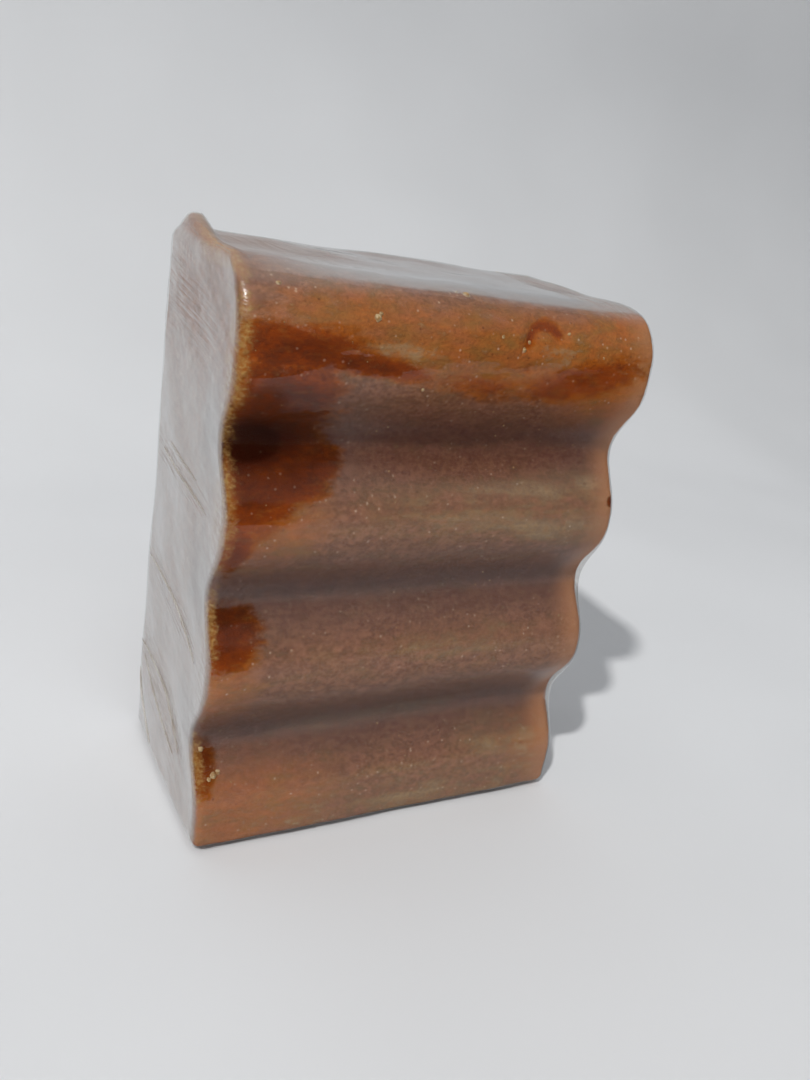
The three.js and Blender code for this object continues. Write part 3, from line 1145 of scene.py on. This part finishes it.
@dataclass(frozen=True)
class Fold:
    """A fold of the film: the places that it passes and its greatest half width, in millimetres."""

    half_width: float
    path: tuple[Triple, ...]


def end_fold(half_width: float, *path: tuple[float, float]) -> Fold:
    """Returns a fold on the left end, its places given along Y and Z."""
    return Fold(half_width, tuple((-41.0, y, z) for y, z in path))


@dataclass
class FilmPleats:
    """Sharp folds of the film, standing a little off it, on both ends."""

    finish: PleatFinish = PleatFinish()
    step: float = 0.7
    boldness: float = 0.72
    lift: float = 0.05
    seen: tuple[Fold, ...] = (
        end_fold(0.26, (16.0, 66.6), (5.4, 65.6), (-6.7, 64.5), (-12.3, 64.0)),
        end_fold(0.16, (10.8, 69.5), (-0.5, 68.1), (-6.0, 67.4)),
        end_fold(0.26, (19.5, 42.6), (3.5, 41.9), (-7.5, 38.2), (-13.8, 35.6)),
        end_fold(0.30, (21.4, 21.6), (13.0, 22.1), (2.9, 21.1), (-3.4, 17.7), (-9.3, 12.9)),
        end_fold(0.20, (18.6, 20.1), (6.8, 15.0), (-6.2, 10.7)),
        end_fold(0.26, (21.0, 15.3), (17.7, 8.9), (9.5, 2.4)),
    )

    def build(self, film: bpy.types.Object) -> bpy.types.Object:
        """Lays the folds along the film.

        Args:
            film: the film that they lie on.

        Returns:
            All the folds as one plain mesh.
        """
        turned = tuple(self.turned(fold) for fold in self.seen if fold.path[0][0] < -40.0)
        lines = self.lines(self.seen + turned)
        tree = MeshTree("film_folds", {"Step": self.step, "Boldness": self.boldness, "Lift": self.lift})
        wiring = tree.wiring
        curves = wiring.add("GeometryNodeMeshToCurve", {0: tree.entry.outputs["Geometry"]})
        smooth = wiring.add("GeometryNodeCurveSplineType", {0: curves.outputs[0]}, spline_type="CATMULL_ROM")
        even = wiring.add("GeometryNodeResampleCurve", {"Curve": smooth.outputs[0]})
        self.by_length(even, tree.sizes["Step"])
        skin = wiring.add("GeometryNodeObjectInfo", {"Object": film}).outputs["Geometry"]
        sized = wiring.add("GeometryNodeTransform", {"Geometry": skin, "Scale": (1 / MM, 1 / MM, 1 / MM)})
        near = wiring.add("GeometryNodeProximity", {0: sized.outputs[0]}, target_element="FACES")
        feeds = {0: sized.outputs[0]}
        outward = wiring.add("GeometryNodeSampleNearestSurface", feeds, data_type="FLOAT_VECTOR")
        wiring.feed(next(i for i in outward.inputs if i.name == "Value" and i.enabled), tree.normal())
        lifted = wiring.along(outward.outputs[0], tree.sizes["Lift"])
        feeds = {0: even.outputs[0], "Position": near.outputs["Position"], "Offset": lifted}
        laid = wiring.add("GeometryNodeSetPosition", feeds)
        along = Field(wiring, wiring.add("GeometryNodeSplineParameter").outputs["Factor"])
        width = wiring.add("GeometryNodeInputNamedAttribute", {"Name": "half_width"}).outputs[0]
        taper = ((along - along * along) * 4.0).root() * (Field(wiring, width) * tree.sizes["Boldness"])
        ring = wiring.add("GeometryNodeCurvePrimitiveCircle", {"Resolution": 10, "Radius": 1.0})
        feeds = {"Curve": laid.outputs[0], "Profile Curve": ring.outputs[0], "Scale": taper}
        tubes = wiring.add("GeometryNodeCurveToMesh", feeds | {"Fill Caps": True})
        tree.finish(tubes.outputs[0], self.finish.make())
        return tree.run("film_pleats", lines)

    @staticmethod
    def by_length(node: bpy.types.Node, step: Field) -> None:
        """Has a resampling node cut its curves into even steps."""
        if "Mode" in node.inputs:
            node.inputs["Mode"].default_value = "Length"
        else:
            node.mode = "LENGTH"
        node.id_data.links.new(step.socket, node.inputs["Length"])

    @staticmethod
    def turned(fold: Fold) -> Fold:
        """Returns the fold's like on the other end, upside down."""
        return Fold(fold.half_width, tuple((-x, y * 0.9, 105.0 - z) for x, y, z in fold.path))

    @staticmethod
    def lines(folds: tuple[Fold, ...]) -> bpy.types.Mesh:
        """Returns the paths of the folds as lines, with their half widths on their points."""
        points, edges, widths = [], [], []
        for fold in folds:
            edges += [(len(points) + i, len(points) + i + 1) for i in range(len(fold.path) - 1)]
            points += fold.path
            widths += [fold.half_width] * len(fold.path)
        mesh = bpy.data.meshes.new("fold_paths")
        mesh.from_pydata(points, edges, [])
        kept_widths = mesh.attributes.new("half_width", "FLOAT", "POINT")
        kept_widths.data.foreach_set("value", widths)
        return mesh


@dataclass(frozen=True)
class Crumb:
    """A pale lump of sugar: its place and its half size, in millimetres."""

    place: Triple
    size: float


@dataclass(frozen=True)
class CrumbFinish:
    """Dry pale sugar."""

    colour: Colour = linear("bfa67e")
    shade: Colour = linear("96703f")

    def make(self) -> bpy.types.Material:
        """Returns the material."""
        material, wiring, place = new_material("pale_sugar")
        mottle = wiring.noise(place, (0.5, 0.5, 0.5), 2.0).ease(0.35, 0.65)
        mottle = mottle * (1.0 - kept(wiring, "fine_grain"))
        bump = wiring.add("ShaderNodeBump", {"Height": mottle, "Strength": 0.3, "Distance": 0.0002})
        feeds = {
            "Base Color": tinted(wiring, mottle, self.shade, self.colour),
            "Roughness": mottle * 0.1 + 0.5,
            "Normal": bump.outputs[0],
        }
        surface = wiring.add("ShaderNodeBsdfPrincipled", feeds)
        wiring.add("ShaderNodeOutputMaterial", {"Surface": surface.outputs[0]})
        return material


@dataclass
class SugarCrumbs:
    """Pale lumps of sugar in the block's surface, at the places that show them, and fine grains all over."""

    finish: CrumbFinish = CrumbFinish()
    seed: int = 4
    grains_per_area: float = 0.012
    crumbs: tuple[Crumb, ...] = (
        Crumb((-18.6, -20.7, 100.8), 0.85),
        Crumb((-17.9, -20.7, 101.7), 0.45),
        Crumb((-0.2, -16.0, 104.8), 0.95),
        Crumb((-1.8, -15.5, 104.9), 0.5),
        Crumb((-34.4, -17.1, 104.2), 0.6),
        Crumb((-37.1, -19.6, 15.1), 0.8),
        Crumb((-36.2, -19.8, 15.8), 0.6),
        Crumb((-37.9, -19.4, 14.2), 0.5),
        Crumb((-39.3, -17.6, 19.2), 0.55),
        Crumb((20.1, -20.5, 100.9), 0.45),
        Crumb((27.8, -22.1, 97.4), 0.35),
        Crumb((-9.0, -21.8, 90.1), 0.4),
        Crumb((10.3, -22.0, 97.9), 0.6),
        Crumb((11.4, -21.6, 99.3), 0.45),
        Crumb((5.4, -21.2, 99.6), 0.4),
        Crumb((26.2, 22.0, 106.0), 0.7),
        Crumb((30.5, 22.0, 105.8), 0.9),
        Crumb((38.5, 21.5, 105.6), 0.6),
        Crumb((40.2, 15.0, 105.2), 0.7),
        Crumb((40.4, 5.0, 105.0), 0.6),
    )

    def build(self, block: bpy.types.Object) -> bpy.types.Object:
        """Sets the crumbs and the grains in the block.

        Args:
            block: the block that they lie in.

        Returns:
            All of them as one plain mesh.
        """
        points = bpy.data.meshes.new("crumb_places")
        places = [self.sunk(block, crumb) for crumb in self.crumbs]
        points.from_pydata([place / MM for place in places], [], [])
        sizes = points.attributes.new("crumb_size", "FLOAT", "POINT")
        sizes.data.foreach_set("value", [crumb.size for crumb in self.crumbs])
        tree = MeshTree("sugar_crumbs", {"Roughness": 0.35, "Grains per area": self.grains_per_area})
        wiring = tree.wiring
        size = wiring.add("GeometryNodeInputNamedAttribute", {"Name": "crumb_size"})
        lumps = self.balls(wiring, tree.entry.outputs["Geometry"], size.outputs[0], 4)
        skin = wiring.add("GeometryNodeObjectInfo", {"Object": block}).outputs["Geometry"]
        sized = wiring.add("GeometryNodeTransform", {"Geometry": skin, "Scale": (1 / MM, 1 / MM, 1 / MM)})
        feeds = {"Mesh": sized.outputs[0], "Density": tree.sizes["Grains per area"], "Seed": self.seed}
        strewn = wiring.add("GeometryNodeDistributePointsOnFaces", feeds).outputs["Points"]
        small = wiring.add("FunctionNodeRandomValue", {2: 0.05, 3: 0.17, "Seed": self.seed + 1})
        grains = tree.keep(self.balls(wiring, strewn, small.outputs[1], 2), "fine_grain", 1.0)
        joined = wiring.add("GeometryNodeJoinGeometry")
        wiring.feed(joined.inputs[0], lumps)
        wiring.feed(joined.inputs[0], grains)
        rough = wiring.noise(tree.position(), (0.55, 0.55, 0.55), 2.0) - 0.5
        offset = wiring.along(tree.normal(), rough * tree.sizes["Roughness"])
        moved = wiring.add("GeometryNodeSetPosition", {"Geometry": joined.outputs[0], "Offset": offset})
        tree.finish(moved.outputs[0], self.finish.make())
        return tree.run("sugar_crumbs", points)

    def balls(
        self, wiring: Wiring, points: bpy.types.NodeSocket, size: bpy.types.NodeSocket, cuts: int
    ) -> bpy.types.NodeSocket:
        """Returns a turned ball of the given size on each point.

        Args:
            wiring: the tree's wiring.
            points: the points.
            size: each ball's radius.
            cuts: how finely a ball is divided.
        """
        ball = wiring.add("GeometryNodeMeshIcoSphere", {"Radius": 1.0, "Subdivisions": cuts}).outputs[0]
        turn = wiring.add("FunctionNodeRandomValue", {1: (6.3, 6.3, 6.3)}, data_type="FLOAT_VECTOR")
        turn.inputs["Seed"].default_value = self.seed
        feeds = {"Points": points, "Instance": ball, "Scale": size, "Rotation": turn.outputs[0]}
        placed = wiring.add("GeometryNodeInstanceOnPoints", feeds)
        return wiring.add("GeometryNodeRealizeInstances", {"Geometry": placed.outputs[0]}).outputs[0]

    @staticmethod
    def sunk(block: bpy.types.Object, crumb: Crumb) -> Vector:
        """Returns the crumb's middle, sunk so that most of it is in the block's surface."""
        found, place, outward, _ = block.closest_point_on_mesh(Vector(crumb.place) * MM)
        if not found:
            raise ValueError(f"no part of the block is near {crumb.place}")
        return place - outward * (crumb.size * 0.62 * MM)


@dataclass(frozen=True)
class SoftLamp:
    """A round lamp that lights without being mirrored: its watts, size, place and what it is aimed at."""

    name: str
    watts: float
    size: float
    place: Triple
    aim: Triple

    def build(self) -> None:
        """Makes the lamp."""
        light = bpy.data.lights.new(self.name, "AREA")
        light.shape = "DISK"
        light.size = self.size
        light.energy = self.watts
        lamp = bpy.data.objects.new(self.name, light)
        lamp.location = self.place
        lamp.rotation_mode = "QUATERNION"
        lamp.rotation_quaternion = (Vector(self.place) - Vector(self.aim)).to_track_quat("Z", "Y")
        lamp.visible_glossy = False
        bpy.context.scene.collection.objects.link(lamp)


@dataclass
class Studio:
    """A plain pale floor that runs up into a backdrop, soft light, and the camera."""

    floor_colour: Colour = linear("dfe1e4")
    half_width: float = 0.9
    front: float = -0.45
    turn_start: float = 0.16
    turn_radius: float = 0.22
    wall_height: float = 1.0
    lens: float = 31.089
    camera_place: Triple = (-0.0881, -0.1543, 0.1241)
    forward: Triple = (0.48602, 0.79178, -0.36995)
    upward: Triple = (0.03666, 0.40447, 0.91382)
    key_direction: Triple = (-0.53, -0.38, 0.76)
    key_distance: float = 2.0
    key_size: float = 0.09
    key_watts: float = 26.0
    sky: float = 0.27
    dim_sky: float = 0.03
    soft_lamps: tuple[SoftLamp, ...] = (
        SoftLamp("overhead", 1.3, 1.0, (0.25, -0.05, 1.2), (0.12, 0.1, 0.0)),
        SoftLamp("fill", 2.0, 0.7, (-0.30, -1.05, 0.45), (0.0, 0.0, 0.05)),
    )

    def build(self) -> bpy.types.Object:
        """Makes the floor, the lights and the camera, and returns the floor."""
        self.light()
        self.camera()
        return self.floor()

    def floor(self) -> bpy.types.Object:
        """Returns the floor and backdrop as one curved sheet."""
        profile = [(self.front, 0.0)]
        for step in range(25):
            turn = math.radians(90 * step / 24)
            along = self.turn_start + self.turn_radius * math.sin(turn)
            profile.append((along, self.turn_radius * (1 - math.cos(turn))))
        profile.append((profile[-1][0], self.wall_height))
        points = [(x, y, z - 0.0004) for y, z in profile for x in (-self.half_width, self.half_width)]
        faces = [(2 * i, 2 * i + 1, 2 * i + 3, 2 * i + 2) for i in range(len(profile) - 1)]
        mesh = bpy.data.meshes.new("floor")
        mesh.from_pydata(points, [], faces)
        mesh.polygons.foreach_set("use_smooth", [True] * len(faces))
        sheet = bpy.data.objects.new("floor", mesh)
        bpy.context.scene.collection.objects.link(sheet)
        mesh.materials.append(self.cloth())
        return sheet

    def cloth(self) -> bpy.types.Material:
        """Returns the floor's plain pale material."""
        material, wiring, place = new_material("pale_floor")
        cloud = wiring.noise(place, (140.0, 140.0, 140.0), 2.0).ease(0.3, 0.7)
        darker = tuple(part * 0.95 for part in self.floor_colour)
        feeds = {"Base Color": tinted(wiring, cloud, darker, self.floor_colour), "Roughness": 0.95}
        feeds["Specular IOR Level"] = 0.1
        surface = wiring.add("ShaderNodeBsdfPrincipled", feeds)
        wiring.add("ShaderNodeOutputMaterial", {"Surface": surface.outputs[0]})
        return material

    def light(self) -> None:
        """Makes a small key lamp high on the left in front, the soft lamps, and the sky."""
        lamp = bpy.data.lights.new("key", "AREA")
        lamp.shape = "DISK"
        lamp.size = self.key_size
        lamp.energy = self.key_watts
        lamp.color = (1.0, 0.985, 0.96)
        key = bpy.data.objects.new("key", lamp)
        direction = Vector(self.key_direction).normalized()
        key.location = Vector((0.0, 0.0, 0.05)) + direction * self.key_distance
        key.rotation_mode = "QUATERNION"
        key.rotation_quaternion = direction.to_track_quat("Z", "Y")
        bpy.context.scene.collection.objects.link(key)
        for soft in self.soft_lamps:
            soft.build()
        bpy.context.scene.world = self.soft_sky()

    def soft_sky(self) -> bpy.types.World:
        """Returns a soft sky that is dimmer low in front."""
        world = bpy.data.worlds.new("soft_sky")
        world.use_nodes = True
        world.node_tree.nodes.clear()
        wiring = Wiring(world.node_tree)
        aim = wiring.add("ShaderNodeTexCoord").outputs["Generated"]
        _, y, z = wiring.split(aim)
        bright = z.ease(0.42, 0.56).most(y.ease(-0.3, 0.4))
        strength = bright * (self.sky - self.dim_sky) + self.dim_sky
        glow = wiring.add("ShaderNodeBackground", {"Color": (0.97, 0.985, 1.0, 1.0), "Strength": strength})
        wiring.add("ShaderNodeOutputWorld", {"Surface": glow.outputs[0]})
        return world

    def camera(self) -> None:
        """Makes the camera, as the photograph's outlines place it."""
        lens = bpy.data.cameras.new("camera")
        lens.lens = self.lens
        lens.sensor_width = 36.0
        lens.sensor_fit = "AUTO"
        lens.clip_start = 0.01
        camera = bpy.data.objects.new("camera", lens)
        back = -Vector(self.forward).normalized()
        right = Vector(self.upward).cross(back).normalized()
        up = back.cross(right)
        turn = Matrix((right, up, back)).transposed().to_4x4()
        camera.matrix_world = Matrix.Translation(Vector(self.camera_place)) @ turn
        bpy.context.scene.collection.objects.link(camera)
        bpy.context.scene.camera = camera


def settle(piece: bpy.types.Object, middle: Vector) -> None:
    """Moves a piece's mesh level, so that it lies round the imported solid's middle as the film does.

    Args:
        piece: the piece.
        middle: how far to move it.
    """
    piece.data.transform(Matrix.Translation(Vector((middle.x, middle.y, 0.0))))
    piece.data.update()


def level_gap(piece: bpy.types.Object) -> Vector:
    """Returns how far the piece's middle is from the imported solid's, level."""
    low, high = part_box(NODE)
    corners = [Vector(corner) for corner in piece.bound_box]
    own_low = Vector([min(corner[i] for corner in corners) for i in range(3)])
    own_high = Vector([max(corner[i] for corner in corners) for i in range(3)])
    return (Vector(low) + Vector(high) - own_low - own_high) / 2


def main() -> None:
    """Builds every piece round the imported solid."""
    logging.basicConfig(level=logging.INFO, format="%(message)s")
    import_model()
    bpy.context.scene.view_settings.view_transform = "Standard"
    film = ClearFilm().build()
    gap = level_gap(film)
    block = JaggeryBlock().build()
    crumbs = SugarCrumbs().build(block)
    pleats = FilmPleats().build(film)
    pieces = {block: Slot.JAGGERY, crumbs: Slot.JAGGERY, film: Slot.FILM, pleats: Slot.FILM}
    for piece, slot in pieces.items():
        settle(piece, gap)
        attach(piece, "root")
        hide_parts(NODE)
        log.info("%s: %d faces", piece.name, len(piece.data.polygons))
    Studio().build()


if __name__ == "__main__":
    main()
